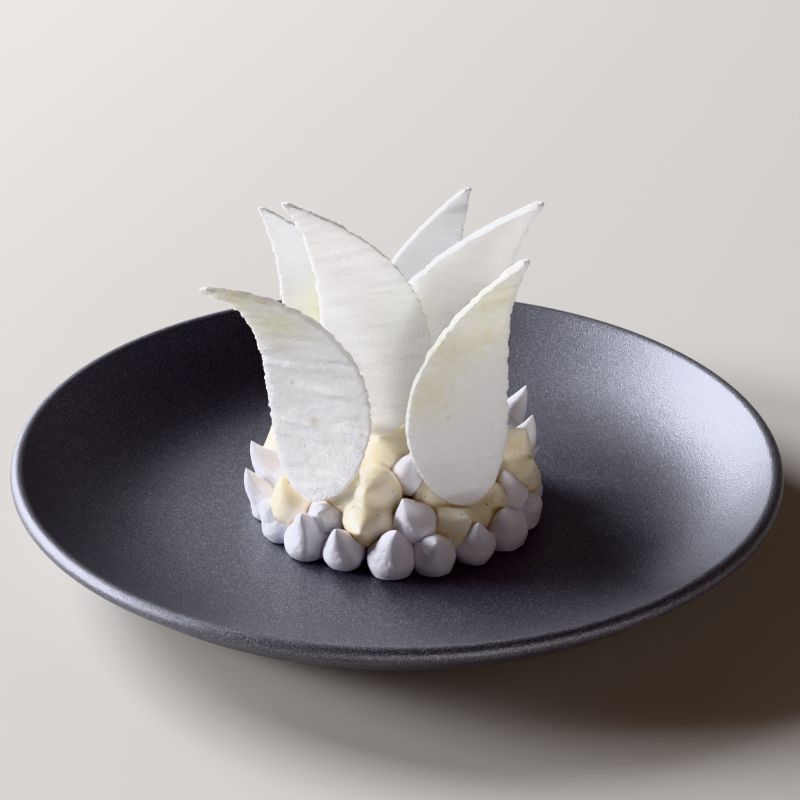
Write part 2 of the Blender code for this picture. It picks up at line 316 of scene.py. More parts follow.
def skin(name, rows, finish, marks=None):
    """A closed, smooth piece through an array of points: rows, points round, xyz."""
    height, around, _ = rows.shape
    here = np.arange(height * around).reshape(height, around)
    beside = np.roll(here, -1, axis=1)
    faces = np.stack([here[:-1], beside[:-1], beside[1:], here[1:]], axis=-1)
    mesh = bpy.data.meshes.new(name)
    mesh.from_pydata(rows.reshape(-1, 3).tolist(), [], faces.reshape(-1, 4).tolist())
    for mark, values in (marks or {}).items():
        mesh.attributes.new(mark, "FLOAT", "POINT").data.foreach_set("value", values.ravel())
    shape = bmesh.new()
    shape.from_mesh(mesh)
    bmesh.ops.remove_doubles(shape, verts=shape.verts, dist=WELD)
    bmesh.ops.recalc_face_normals(shape, faces=shape.faces)
    shape.to_mesh(mesh)
    shape.free()
    mesh.shade_smooth()
    mesh.materials.append(finish.material)
    piece = bpy.data.objects.new(name, mesh)
    scene.collection.objects.link(piece)
    return piece


def dress(piece, node):
    """The piece stands for its solid from here on and moves with the whole."""
    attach(piece, "root")
    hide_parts(node)


def clouds(points, size, seed):
    """Smooth random values between -1 and 1, one a point, with clouds of one size."""
    shift = Vector([seed * step for step in SEED_STEP])
    flat = points.reshape(-1, points.shape[-1]) / size
    found = [noise.noise(Vector(point) + shift) for point in flat.tolist()]
    return np.array(found).reshape(points.shape[:-1])


print("pieces weld at", WELD / MM, "mm")

# %% [markdown]
# ## The plate
#
# A coupe plate is thrown on a wheel, so half a section turned about the middle
# is all of it. The well is flat under the food, its side turns up later and
# later, and a rolled edge joins it to the underside. The same few sizes as in
# the solid give the section, only with many more points, and a Screw modifier
# turns it.

# %% Plate shape
PLATE_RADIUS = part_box("plate")[1].x
PLATE_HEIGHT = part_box("plate")[1].z
PLATE_THICKNESS = 4.8 * MM
EDGE_RADIUS = 3.0 * MM
EDGE_END = -50                      # degrees, where the rolled edge meets the underside
WELL_HEIGHT = 7.0 * MM
WELL_FLAT = 80 * MM
WELL_POWER = 2.6
WELL_SLOPE = 42                     # degrees, where the side meets the edge
FOOT_OUTER = 78 * MM
FOOT_INNER = 70 * MM
FOOT_DEPTH = 2.3 * MM
PLATE_STEPS = 192
WELL_SHARES = np.linspace(0, 0.98, 40)      # of the side's width, to just short of the edge
EDGE_ANGLES = np.linspace(90 + WELL_SLOPE, EDGE_END, 24)
UNDER_SHARES = np.linspace(0.92, 0.3, 20)   # back under the side, to just short of the foot


def edge_point(angle):
    turn = math.radians(angle)
    x = PLATE_RADIUS - EDGE_RADIUS + EDGE_RADIUS * math.cos(turn)
    return x, PLATE_HEIGHT - EDGE_RADIUS + EDGE_RADIUS * math.sin(turn)


def well_point(share, below=0.0):
    """A point of the well's side, or one straight under its surface."""
    end_x, end_z = edge_point(90 + WELL_SLOPE)
    run, rise = end_x - WELL_FLAT, end_z - WELL_HEIGHT
    slope = math.atan(WELL_POWER * rise / run * share ** (WELL_POWER - 1))
    x = WELL_FLAT + run * share + below * math.sin(slope)
    return x, WELL_HEIGHT + rise * share ** WELL_POWER - below * math.cos(slope)


def plate_section():
    points = [(0, WELL_HEIGHT)] + [well_point(share) for share in WELL_SHARES]
    points += [edge_point(angle) for angle in EDGE_ANGLES]
    points += [well_point(share, PLATE_THICKNESS) for share in UNDER_SHARES]
    points += [(FOOT_OUTER, 0), (FOOT_INNER, 0)]
    return points + [(FOOT_INNER - FOOT_DEPTH, FOOT_DEPTH), (0, FOOT_DEPTH)]


section = plate_section()
print("plate section:", len(section), "points, radius", round(PLATE_RADIUS / MM, 1), "mm")

# %% [markdown]
# The glaze is a charcoal satin one, a little blue, with fine pale specks where
# the clay's grog shows through and an orange-peel surface that breaks the
# window's reflection into soft sparkle. So the colour gets specks, and the
# roughness and relief get a grain of about half a millimetre.

# %% Glaze
glaze = Finish("satin_glaze", {"IOR": 1.8, "Specular IOR Level": 0.56,
                               "Specular Tint": (0.85, 0.86, 1.0)})
peel = glaze.grain(0.5 * MM, 2)
specks = glaze.step(glaze.grain(0.45 * MM, 1), 0.45, 0.75)
glaze.vary({
    "Base Color": glaze.blend(specks, (0.058, 0.057, 0.062), (0.22, 0.22, 0.25)),
    "Roughness": 0.38 + 0.10 * glaze.grain(9 * MM) - 0.08 * specks,
    "Normal": glaze.relief(0.20 * peel),
})


def make_plate():
    shape = bmesh.new()
    corners = [shape.verts.new((x, 0, z)) for x, z in section]
    for first, second in zip(corners, corners[1:]):
        shape.edges.new((first, second))
    mesh = bpy.data.meshes.new("coupe_plate")
    shape.to_mesh(mesh)
    shape.free()
    mesh.materials.append(glaze.material)
    plate = bpy.data.objects.new("coupe_plate", mesh)
    scene.collection.objects.link(plate)
    turning = plate.modifiers.new("turn", "SCREW")
    turning.steps = turning.render_steps = PLATE_STEPS
    turning.use_merge_vertices = True
    turning.merge_threshold = WELD
    turning.use_smooth_shade = True
    return plate


dress(make_plate(), "plate")
print("plate turned in", PLATE_STEPS, "steps")

# %% [markdown]
# ## The curd
#
# The curd only shows as a deep yellow glow in the gaps between the cream. A
# gently lumpy dome just inside its solid does it, and some light that travels
# under the surface keeps the gaps from going black.

# %% Curd
CURD_LOW, CURD_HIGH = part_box("curd_core")
CURD_LUMPS = 0.5 * MM               # how deep they are
CURD_LUMP_SIZE = 5 * MM
CURD_ROWS = 28
CURD_COLUMNS = 96

curd = Finish("passion_curd", {"Roughness": 0.28, "Subsurface Weight": 0.5,
                               "Subsurface Scale": 0.003, "Subsurface Radius": (1.0, 0.6, 0.1)})
curd.vary({"Base Color": curd.blend(curd.step(curd.grain(4 * MM), 0.35, 0.65),
                                    (0.78, 0.36, 0.05), (0.86, 0.58, 0.13))})


def make_curd():
    fall, turn = np.meshgrid(np.linspace(0, math.pi / 2, CURD_ROWS),
                             np.linspace(0, math.tau, CURD_COLUMNS, endpoint=False), indexing="ij")
    size = (CURD_HIGH - CURD_LOW) / 2
    dome = np.stack([np.sin(fall) * np.cos(turn) * size.x, np.sin(fall) * np.sin(turn) * size.y,
                     np.cos(fall) * size.z * 2], axis=-1)
    depth = CURD_LUMPS * (0.6 + 0.4 * clouds(dome, CURD_LUMP_SIZE, 1))
    dome -= depth[..., None] * dome / np.linalg.norm(dome, axis=-1, keepdims=True)
    dome[-1, :, 2] = 0
    rows = np.concatenate([dome, np.zeros_like(dome[:1])])
    return skin("curd_dome", rows + np.array([0, 0, CURD_LOW.z]), curd)


dress(make_curd(), "curd_core")
print("curd stands", round((CURD_HIGH - CURD_LOW).z / MM, 1), "mm high")

# %% [markdown]
# ## The meringue sails
#
# A sail is meringue spread through a leaf-shaped stencil and dried over a curved
# form. Six of them differ in size, sweep and curl, and the sizes below are those
# of the solids. A thin sheet with a Solidify modifier would have sharp, even
# rims. The real rims are blunt and chipped, so front and back are worked out
# together here: their distance shrinks to nothing at the outline over the width
# of the rounding.

# %% Sail sizes
SAIL_THICKNESS = 2.8                # mm, like all sizes of the sails
SAIL_TIP = 3.0
SAIL_WIDEST_AT = 0.36
SAIL_SWEEP_FROM = 0.08
SAIL_SWEEP_POWER = 2.75
SAIL_TAPER_POWER = 1.7
RIM_ROUNDING = 0.5
SAIL_ROWS = 235
SAIL_COLUMNS = 80
SAIL_ROW_CROWDING = 1.25

# hand: 1 when the tip swings to the right and -1 to the left. foot: the lowest
# point. turn, lean and roll: degrees about Z, X and the sail's own face.
# curl_radius: of the bend towards the front. curl_skew: degrees by which the
# bend runs across the sail.
Sail = namedtuple("Sail", "hand foot turn lean roll length width sweep curl_radius curl_skew")
SAILS = {
    "sail_front_left": Sail(-1, (-30.5, -31.0, 26.3), -25, -20, -3.4, 105.4, 39.1, 37.2, 79, -19.8),
    "sail_front_right": Sail(1, (25.9, -31.0, 25.5), 20.0, -17.8, 6.7, 98.3, 39.7, 25.3, 115, 0.3),
    "sail_middle_left": Sail(-1, (-5.1, -6, 40.2), 22.4, -4.7, 0.9, 103.4, 40.9, 40.2, 286, -11.2),
    "sail_middle_right": Sail(1, (10.4, 9.5, 29.6), 16.0, -8.4, -1.3, 103.4, 49.0, 33.4, 156, -2.8),
    "sail_back_left": Sail(-1, (-21.6, 11.0, 27.2), 27.5, -7.8, -2.5, 100.3, 40.5, 35.4, 312, -0.9),
    "sail_back_right": Sail(1, (3.3, 29.0, 22.4), 7.7, -7.2, 1.2, 97.3, 39.3, 24.1, 455, 1.4),
}
print("sails:", ", ".join(SAILS))


# %% Sail outline and bend
def swing(along):
    """How far the leaf has swung to the side, as a share of its sweep."""
    return np.clip((along - SAIL_SWEEP_FROM) / (1 - SAIL_SWEEP_FROM), 0, 1) ** SAIL_SWEEP_POWER


def leaf_half_width(sail, along):
    low = sail.width / 2 * np.sqrt(np.clip(1 - (1 - along / SAIL_WIDEST_AT) ** 2, 0, 1))
    past = np.clip((along - SAIL_WIDEST_AT) / (1 - SAIL_WIDEST_AT), 0, 1)
    high = SAIL_TIP / 2 + (sail.width - SAIL_TIP) / 2 * (1 - past ** SAIL_TAPER_POWER)
    return np.where(along <= SAIL_WIDEST_AT, low, high)


def curled(sail, side, height):
    """Bend flat points towards the front, round an axis skewed by curl_skew."""
    skew = math.radians(sail.curl_skew)
    run = height * math.cos(skew) + side * math.sin(skew)
    rest = side * math.cos(skew) - height * math.sin(skew)
    angle = np.maximum(run, 0) / sail.curl_radius
    run = np.minimum(run, 0) + sail.curl_radius * np.sin(angle)
    forward = sail.curl_radius * (1 - np.cos(angle))
    height = run * math.cos(skew) - rest * math.sin(skew)
    side = run * math.sin(skew) + rest * math.cos(skew)
    return np.stack([-sail.hand * side, -forward, height], axis=-1)


def facing(sail, side, height, nudge=0.05):
    """Unit vectors that stand on the bent sheet, by a small step each way."""
    across = curled(sail, side + nudge, height) - curled(sail, side - nudge, height)
    upwards = curled(sail, side, height + nudge) - curled(sail, side, height - nudge)
    stand = np.cross(across, upwards) * sail.hand
    return stand / np.linalg.norm(stand, axis=-1, keepdims=True)


print("widest sail:", max(sail.width for sail in SAILS.values()), "mm")

# %% [markdown]
# Each sheet dried in its own way. The front left one is rough and pitted, the
# front right one is sugary and a little yellow, and the others are smoother, with
# ripples where the palette knife went across. The yellow is partly painted glow,
# where light comes through the thin sheet and back from the cream, and partly
# painted warm shade under a curled top. The rims are bitten by chips, fine crumbs
# and here and there a larger chunk. All of it is worked out from smooth noise of
# several sizes, because a displacement from a picture would repeat on every sail.
# Spots of sugar with their painted glow and shade, blisters and browned spots are
# given as places on the leaf: across from -1 to 1, along from 0 to 1, and their
# reach in millimetres.

# %% Sail surfaces
# ripple, lumps and pits: heights in mm. chips: how ragged the rims are. rough:
# how strong the fine crust is. grey: how far the white is toned down, as
# painted shade on the sails at the back. sugar: spots of sugar that
# also carry painted glow and warm shade.
Surface = namedtuple("Surface", "ripple lumps pits chips rough grey sugar blisters stains")
SURFACES = {
    "sail_front_left": Surface(0.80, 0.16, 0.55, 0.8, 1.0, 0.0, [(0.0, 0.90, 17), (-0.2, 0.72, 13)],
                               [(0.1, 0.87, 0.9), (-0.1, 0.72, 1.0), (0.1, 0.70, 0.8)],
                               [(-0.1, 0.29, 1.6), (0.85, 0.28, 1.1), (-0.45, 0.43, 1.0)]),
    "sail_front_right": Surface(0.60, 0.16, 0.26, 0.7, 0.7, 0.0,
                                [(0.6, 0.48, 13), (0.5, 0.64, 15), (0.1, 0.84, 15),
                                 (-0.2, 0.66, 13)],
                                [(0.52, 0.52, 1.1), (0.55, 0.49, 1.0), (0.48, 0.54, 0.8),
                                 (-0.2, 0.83, 0.9), (0.60, 0.37, 0.9), (0.45, 0.59, 0.6)],
                                [(0.2, 0.36, 0.6)]),
    "sail_middle_left": Surface(0.58, 0.13, 0.20, 1.0, 0.6, 0.0, [], [], []),
    "sail_middle_right": Surface(0.58, 0.14, 0.22, 0.9, 0.6, 0.0,
                                 [(0.9, 0.50, 15), (0.7, 0.36, 14)], [], []),
    "sail_back_left": Surface(0.45, 0.10, 0.16, 0.9, 0.5, 0.85, [(-0.1, 0.52, 16)], [], []),
    "sail_back_right": Surface(0.45, 0.11, 0.16, 0.9, 0.5, 0.9, [], [], []),
}
print("sails with blisters:", [name for name, look in SURFACES.items() if look.blisters])

# %% Sizes of bites and relief
SPREAD_TURN = math.radians(35)      # how far the marks of the knife run from level
RAGGED_RUN = 9.0                    # mm along the rim, over which it is more or less ragged
CHIP_SIZE, CHIP_DEPTH = 2.4, 1.7    # mm along the rim and into it
CRUMB_SIZE, CRUMB_DEPTH = 1.1, 1.3
CHUNK_SIZE, CHUNK_DEPTH = 5.5, 1.6
CHUNK_FROM = 0.25                   # of the noise, so that chunks are rare
SWELL_SIZE, RIDGE_SIZE = 6.0, 5.0   # mm, of the soft and the crisp ripples
SWELL_STRETCH = (0.25, 1.5, 1.0)    # below 1 draws them out, here across the leaf
RIDGE_STRETCH = (0.3, 1.4, 1.0)
RIDGE_LEVEL, RIDGE_SHARE = 0.4, 0.55
LUMP_SIZE, FINE_LUMP_SIZE = 2.8, 1.5
SPREAD_STRETCH = 0.45               # of the lumps, along the marks of the knife
FINE_SHARE = 0.7
PIT_SIZE, PITTED_SIZE = 1.5, 12     # mm, of a pit and of the places that have pits
PIT_FROM = 0.36                     # of the noise, so that pits stand apart
PITTED_LEVEL = 0.3                  # above 0, so that more than half of a sheet has pits
EDGE_SHIFT, FACE_SHIFT, SPREAD_SHIFT = 50.0, 20.0, 9.0   # mm, from one seed's noise to the next
print("chips are about", CHIP_SIZE, "mm long and crumbs", CRUMB_SIZE)


# %% Bites and relief of a sail
def outline_bite(along, sail, chips, seed):
    """How far chips and crumbs bite into one edge of a sail, row by row."""
    apart = np.full_like(along, seed * EDGE_SHIFT)
    run = np.stack([along * sail.length, apart, np.zeros_like(along)], axis=-1)
    ragged = 0.5 + 0.5 * clouds(run, RAGGED_RUN, seed)
    chip = ragged * np.abs(clouds(run, CHIP_SIZE, seed + 1)) * CHIP_DEPTH
    crumb = np.abs(clouds(run, CRUMB_SIZE, seed + 2)) * CRUMB_DEPTH
    chunk = np.clip(clouds(run, CHUNK_SIZE, seed + 3) - CHUNK_FROM, 0, 1) * CHUNK_DEPTH
    return chips * (chip + crumb + chunk)


def surface_relief(look, side, height, seed):
    """Height of ripples, lumps and pits on one face in mm, and how deep the pits are."""
    spots = np.stack([side, height, np.full_like(side, seed * FACE_SHIFT)], axis=-1)
    swell = clouds(spots * np.array(SWELL_STRETCH), SWELL_SIZE, seed)
    ridges = RIDGE_LEVEL - 2 * np.abs(clouds(spots * np.array(RIDGE_STRETCH), RIDGE_SIZE, seed + 6))
    ripples = look.ripple * (swell + RIDGE_SHARE * ridges)
    level = side * math.cos(SPREAD_TURN) + height * math.sin(SPREAD_TURN)
    steep = height * math.cos(SPREAD_TURN) - side * math.sin(SPREAD_TURN)
    apart = np.full_like(side, seed * SPREAD_SHIFT)
    spread = np.stack([level * SPREAD_STRETCH, steep, apart], axis=-1)
    fine = FINE_SHARE * clouds(spots, FINE_LUMP_SIZE, seed + 2)
    lumps = look.lumps * (clouds(spread, LUMP_SIZE, seed + 1) + fine)
    pitted = np.clip(PITTED_LEVEL + clouds(spots, PITTED_SIZE, seed + 4), 0, 1)
    pits = np.clip(clouds(spots, PIT_SIZE, seed + 3) - PIT_FROM, 0, 1) * pitted
    return ripples + lumps - look.pits * pits, pits


print("the knife ran", round(math.degrees(SPREAD_TURN)), "degrees from level")

# %% [markdown]
# Dried meringue is white and matt, and its grain of a millimetre and less is too
# fine for the mesh, so that is relief in the finish. The white wanders between a
# cool and a neutral one, and the two sails at the back get painted shade that
# makes them a shade greyer. Sugary spots and blisters are a little glossy, and
# their yellow is partly painted glow of light through the thin sheet and partly
# painted warm shade. Pits are a little browner and also get painted shade, darker
# the deeper they are, and a few places have browned. A sheet under 3 mm thin also
# lets light through, which the subsurface values give.

# %% Sail finish
baked = Finish("baked_meringue", {"Subsurface Weight": 0.35, "Subsurface Scale": 0.006,
                                  "Subsurface Radius": (1.0, 0.98, 0.9), "Specular IOR Level": 0.3})
tone = baked.blend(baked.grain(14 * MM), (0.95, 0.96, 0.985), (0.975, 0.975, 0.975))
# painted shade: the two sails at the back are toned greyer, though their meringue is the same
tone = baked.blend(baked.mark("grey"), tone, (0.65, 0.645, 0.65))
# painted glow and shade: the sugar spots turn yellow where light comes through the thin sheet and back from
# the cream, and in the warm shade under the curled top of the front left sail; their gloss is real
syrup_glow_and_shade = baked.mark("sugar") * (0.55 + 0.45 * baked.step(baked.grain(3 * MM, 4), 0.25, 0.75))
tone = baked.blend(0.95 * syrup_glow_and_shade, tone, (0.85, 0.83, 0.62))
# painted shade in the pits, over a little real browning: the deeper a pit, the darker
tone = baked.blend(0.5 * baked.mark("pits"), tone, (0.66, 0.62, 0.56))
crust = baked.mark("rough") * (0.55 * baked.grain(0.9 * MM, 3) + 0.26 * baked.grain(0.45 * MM, 2))
streaks = 0.6 * baked.grain(2.5 * MM, 3, (0.15, 0.15, 1.0))
baked.vary({
    "Base Color": baked.blend(0.45 * baked.mark("stain"), tone, (0.52, 0.40, 0.25)),
    "Roughness": 0.62 - 0.25 * syrup_glow_and_shade,
    "Normal": baked.relief(0.22 * baked.grain(0.7 * MM, 3) + crust + streaks),
})
print("finish:", baked.material.name)

# %% Flat leaf
BITE_FADE = 6                       # power by which a bite dies out from the rim inwards


def flat_leaf(sail, chips, seed):
    """The sail before it is bent, as rows of points in mm: how far to the side and how high."""
    along = np.linspace(0, 1, SAIL_ROWS) ** SAIL_ROW_CROWDING
    half = leaf_half_width(sail, along)
    left, right = (outline_bite(along, sail, chips, seed + step) for step in (0, 5))
    across, along = np.meshgrid(np.sin(np.linspace(-1, 1, SAIL_COLUMNS) * math.pi / 2), along)
    bite = np.where(across < 0, left[:, None], right[:, None]) * np.abs(across) ** BITE_FADE
    side = across * np.maximum(half[:, None] - bite, 0) - sail.sweep * swing(along)
    return side, along * sail.length


def outline_distance(side, height):
    """Distance of every point of the flat leaf from its outline."""
    rim = list(zip(side[:, 0], height[:, 0])) + list(zip(side[:, -1], height[:, -1]))
    rim += list(zip(side[-1], height[-1]))
    tree = KDTree(len(rim))
    for index, (x, y) in enumerate(rim):
        tree.insert((x, y, 0), index)
    tree.balance()
    found = [tree.find((x, y, 0))[2] for x, y in zip(side.ravel(), height.ravel())]
    return np.array(found).reshape(side.shape)


print("a sail has", SAIL_ROWS, "rows of", 2 * SAIL_COLUMNS - 2, "points")


# %% Spots on a sail
def spots_reach(spots, sail, side, height):
    """How strongly round spots on the leaf reach each point, from 0 to 1."""
    reach = np.zeros_like(side)
    for across, along, radius in spots:
        x = across * leaf_half_width(sail, np.array(along)) - sail.sweep * swing(along)
        apart = np.hypot(side - x, height - along * sail.length) / radius
        reach = np.maximum(reach, np.exp(-apart ** 2))
    return reach


print("spots:", sum(len(look.sugar + look.blisters + look.stains) for look in SURFACES.values()))

# %% Make a sail
SKIN_INSET = 0.12                   # mm, so that the relief stays about level with the solid's face
BLISTER_HEIGHT = 0.75
CRUMBLE_SIZE, CRUMBLE_DEPTH = 1.3, 0.5
# pits are darkened with painted shade, the more the deeper they are
PIT_SHADE = 5                       # how much shade a pit's depth gives
SAIL_SEEDS = 30                     # random patterns kept for each sail


def closed(front, back):
    """Rows that run across the front and return over the back, with each rim only once."""
    return np.concatenate([front, back[:, -2:0:-1]], axis=1)


def make_sail(name, sail, look, seed):
    side, height = flat_leaf(sail, look.chips, seed)
    cover = np.clip(outline_distance(side, height) / RIM_ROUNDING, 0, 1)
    rounding = np.sqrt(1 - (1 - cover) ** 2)
    middle, stand = curled(sail, side, height), facing(sail, side, height)
    blister = spots_reach(look.blisters, sail, side, height)
    faces, shades = [], []
    for turn in (1, -1):
        relief, pits = surface_relief(look, side, height, seed + 10 + turn)
        if turn == 1:
            relief = relief + BLISTER_HEIGHT * blister
        thick = rounding * (SAIL_THICKNESS / 2 - SKIN_INSET + relief)
        faces.append(middle + turn * thick[..., None] * stand)
        # painted shade: the deeper a pit, the darker its colour
        shades.append(np.clip(pits * look.pits * PIT_SHADE, 0, 1) * cover)
    loop = closed(*faces)
    marks = {
        # the sugar spots, with the blisters, carry painted glow and warm shade as well as sugar
        "sugar": np.maximum(spots_reach(look.sugar, sail, side, height), blister),
        "stain": spots_reach(look.stains, sail, side, height),
        "rough": np.full_like(side, look.rough),
        "grey": np.full_like(side, look.grey),
    }
    values = {mark: closed(face, face) for mark, face in marks.items()}
    values["pits"] = closed(*shades)
    crumble = CRUMBLE_DEPTH * clouds(loop, CRUMBLE_SIZE, seed + 20)
    loop[..., 1] += crumble * (1 - closed(cover, cover))
    angles = [math.radians(angle) for angle in (sail.lean, -sail.roll, sail.turn)]
    turned = Euler(angles, "YXZ").to_matrix()
    loop = (loop @ np.array(turned).T + np.array(sail.foot)) * MM
    piece = skin(name.replace("sail", "meringue_sail"), loop, baked, values)
    dress(piece, name)
    return piece


print("blisters stand", BLISTER_HEIGHT, "mm high")

# %% Six sails
for number, (name, sail) in enumerate(SAILS.items()):
    made = make_sail(name, sail, SURFACES[name], SAIL_SEEDS * number)
    low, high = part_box(name)
    print(name, "solid", [round(part / MM) for part in high - low], "dressed",
          [round(part / MM) for part in made.dimensions])

# %% [markdown]
# ## Where the drops and dollops lie
#
# Meringue drops stand side by side round the foot of the mound, and rings of
# cream dollops with a few drops climb over the curd. The ring, height and size
# of each row are those of the solids, with the same seeded spread, so every fine
# piece lies in its own solid's place.

# %% Rows of the mound
Row = namedtuple("Row", "ring height radius lean kinds azimuths")


def spaced(count, first, last=None):
    """Evenly spaced azimuths, right round or from the first to the last."""
    step = 360 / count if last is None else (last - first) / (count - 1)
    return [first + index * step for index in range(count)]


# ring, height above the well and radius in mm, lean and azimuths in degrees. In
# kinds, m is a meringue drop and c a cream dollop.
ROWS = {
    "foot": Row(46.0, 5.9, 8.6, 12, "m" * 18, spaced(18, 187)),
    "lower": Row(39.5, 14.0, 9.3, 25, "cmcmcmccmcmmmcmcm",
                 [161, 181, 209, 231, 256, 279, 301, 325, 342, 354] + spaced(7, 376, 501)),
    "upper": Row(27.5, 22.0, 10.0, 30, "ccmcccmccmcc",
                 [235, 255, 282, 301, 330] + spaced(7, 364, 560)),
    "top": Row(14.0, 26.0, 10.4, 20, "cccc", spaced(4, 250)),
    "crown": Row(0.0, 28.5, 10.0, 0, "c", [270]),
}
print("pieces in the mound:", sum(len(row.kinds) for row in ROWS.values()))

# %% Pieces that differ from their row
OWN_FORM = {
    ("foot", 0): {"lean": 32, "peak": 0.9},
    ("foot", 1): {"peak": 0.3},
    ("foot", 2): {"lean": 26, "aside": -8},
    ("foot", 3): {"lean": 30, "aside": 6, "radius": 7.7},
    ("foot", 4): {"lean": 24, "aside": -5, "radius": 8.8},
    ("foot", 5): {"lean": 42, "aside": 8, "peak": 0.5},
    ("foot", 6): {"lean": 26, "aside": 14, "peak": 0.85, "radius": 7.9},
    ("foot", 7): {"lean": 16, "aside": 30},
    ("foot", 8): {"lean": 22, "aside": 32, "peak": 0.4},
    ("foot", 9): {"peak": 0.2},
    ("foot", 17): {"peak": 0.3},
    ("lower", 0): {"ring": 43, "height": 15},
    ("lower", 1): {"ring": 42, "height": 13, "lean": 50, "peak": 0.95},
    ("lower", 2): {"ring": 42, "height": 12.3},
    ("lower", 3): {"ring": 39, "height": 12.6, "radius": 7.8, "peak": 0.15},
    ("lower", 4): {"ring": 37, "height": 13, "radius": 9.4, "lean": 80, "aside": 30},
    ("lower", 5): {"ring": 38, "height": 14.6, "radius": 8.4, "aside": 24},
    ("lower", 6): {"ring": 39, "height": 11.2, "radius": 9.6, "lean": 60},
    ("lower", 7): {"ring": 37.5, "height": 13.2, "peak": 0.25},
    ("lower", 8): {"ring": 43, "height": 13, "radius": 6.6, "lean": 0, "aside": 22, "peak": 0.95},
    ("lower", 9): {"ring": 43, "height": 14, "radius": 9.6, "peak": 0.2},
    ("lower", 10): {"ring": 43, "height": 15, "lean": 40, "peak": 0.95},
    ("lower", 11): {"ring": 48, "height": 18, "lean": 55, "peak": 1.0},
    ("upper", 0): {"ring": 31, "height": 21},
    ("upper", 1): {"ring": 30, "radius": 9.9, "lean": 65},
    ("upper", 2): {"ring": 23, "height": 26, "radius": 7.8, "aside": 10},
    ("upper", 3): {"ring": 31, "height": 19.5, "peak": 0.15},
    ("upper", 5): {"ring": 40, "height": 20},
    ("upper", 8): {"ring": 34, "height": 20.5},
    ("crown", 0): {"peak": 0.15},
}
PEAKS = {"m": 0.78, "c": 0.42}      # length of a tip beyond the ball, in radii
SIZE_SPREAD = 0.03                  # share by which sizes vary
TURN_SPREAD = 1.0                   # degrees
LEAN_SPREAD = 6.0                   # degrees
KEEP_OFF_SAIL = 5.5 * MM            # a centre is never nearer to a sail
CORNER_REACH = 4 * MM               # corners of a sail this far beyond a piece still bound it
TIP_CLEARANCE = 0.5 * MM            # by which a tip's end clears what its piece is pressed against
TIP_TURNS = 30                      # small turns in which it gets clear
RANDOM_SEED = 11
print("pieces that differ from their row:", len(OWN_FORM))

# %% [markdown]
# Soft pieces that touch press each other flat. So each solid has a plane towards
# every neighbour, where the two would meet, and a plane towards the plate, the
# curd and each sail that it leans on. A tip that a plane would cut off is turned
# away from it. The solids were cut by the same planes.

# %% Planes between the pieces
class Obstacle:
    """A solid of the frame that the drops and dollops press against."""

    def __init__(self, node):
        self.corners = [vertex.co.copy() for vertex in node.data.vertices]
        faces = [tuple(face.vertices) for face in node.data.polygons]
        self.tree = BVHTree.FromPolygons(self.corners, faces)

    def pushed_off(self, centre, distance):
        nearest, _, _, apart = self.tree.find_nearest(centre)
        if apart >= distance:
            return centre
        return centre + (centre - nearest).normalized() * (distance - apart)

    def wall(self, centre, reach):
        """The plane between a piece and the solid: direction and distance from the centre."""
        nearest, _, _, apart = self.tree.find_nearest(centre)
        if apart > reach:
            return None
        direction = (nearest - centre).normalized()
        near = reach + CORNER_REACH
        close = [corner for corner in self.corners if (corner - centre).length < near]
        distance = min([apart] + [(corner - centre).dot(direction) for corner in close])
        return direction, distance - GAP


print("a centre keeps", KEEP_OFF_SAIL / MM, "mm off a sail")

# %% Place, size and tip of each piece
Blob = namedtuple("Blob", "kind centre radius tip peak place")


def plan_blobs(sails):
    draw = random.Random(RANDOM_SEED)
    blobs = []
    for row_name, row in ROWS.items():
        for index, (kind, azimuth) in enumerate(zip(row.kinds, row.azimuths)):
            form = {**row._asdict(), "aside": 0, "peak": PEAKS[kind]}
            form.update(OWN_FORM.get((row_name, index), {}))
            azimuth = math.radians(azimuth + draw.uniform(-1, 1) * TURN_SPREAD)
            outward = Vector((math.cos(azimuth), math.sin(azimuth), 0))
            centre = (outward * form["ring"] + UP * form["height"]) * MM + UP * WELL_HEIGHT
            for sail in sails:
                centre = sail.pushed_off(centre, KEEP_OFF_SAIL)
            radius = form["radius"] * MM * (1 + draw.uniform(-1, 1) * SIZE_SPREAD)
            lean = math.radians(form["lean"] + draw.uniform(-1, 1) * LEAN_SPREAD)
            aside = math.radians(form["aside"] + draw.uniform(-1, 1) * LEAN_SPREAD)
            tip = Quaternion(outward, aside) @ (UP * math.cos(lean) + outward * math.sin(lean))
            blobs.append(Blob(kind, centre, radius, tip, form["peak"], (row_name, index)))
    return blobs


sail_obstacles = [Obstacle(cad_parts[name]) for name in SAILS]
obstacles = sail_obstacles + [Obstacle(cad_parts["curd_core"])]
planned = plan_blobs(sail_obstacles)
print("planned:", len(planned), "pieces round", len(sail_obstacles), "sails")


# %% Walls and cleared tips
def neighbour_walls(blob, blobs):
    """The planes between a piece and its neighbours, with the neighbour of each."""
    reach = blob.radius * (1 + blob.peak)
    walls = []
    for other in blobs:
        between = other.centre - blob.centre
        apart = between.length
        if other is blob or apart > reach + other.radius * (1 + other.peak):
            continue
        share = (apart ** 2 + blob.radius ** 2 - other.radius ** 2) / (2 * apart)
        walls.append((between / apart, share - GAP / 2, other))
    return walls


def solid_walls(blob, obstacles):
    """The planes between a piece and the plate, the curd and the sails."""
    reach = blob.radius * (1 + blob.peak)
    walls = [piece.wall(blob.centre, reach) for piece in obstacles]
    return [(-UP, blob.centre.z - WELL_HEIGHT - GAP)] + [wall for wall in walls if wall]


def cleared_tip(blob, walls):
    """The tip, turned away from the planes until they no longer cut its end off."""
    tip, length = blob.tip, blob.radius * (1 + blob.peak)
    for _ in range(TIP_TURNS):
        towards, limit = max(walls, key=lambda wall: tip.dot(wall[0]) * length - wall[1])
        over = tip.dot(towards) * length - limit + TIP_CLEARANCE
        if over <= 0:
            break
        tip = (tip - towards * over / length).normalized()
    return tip


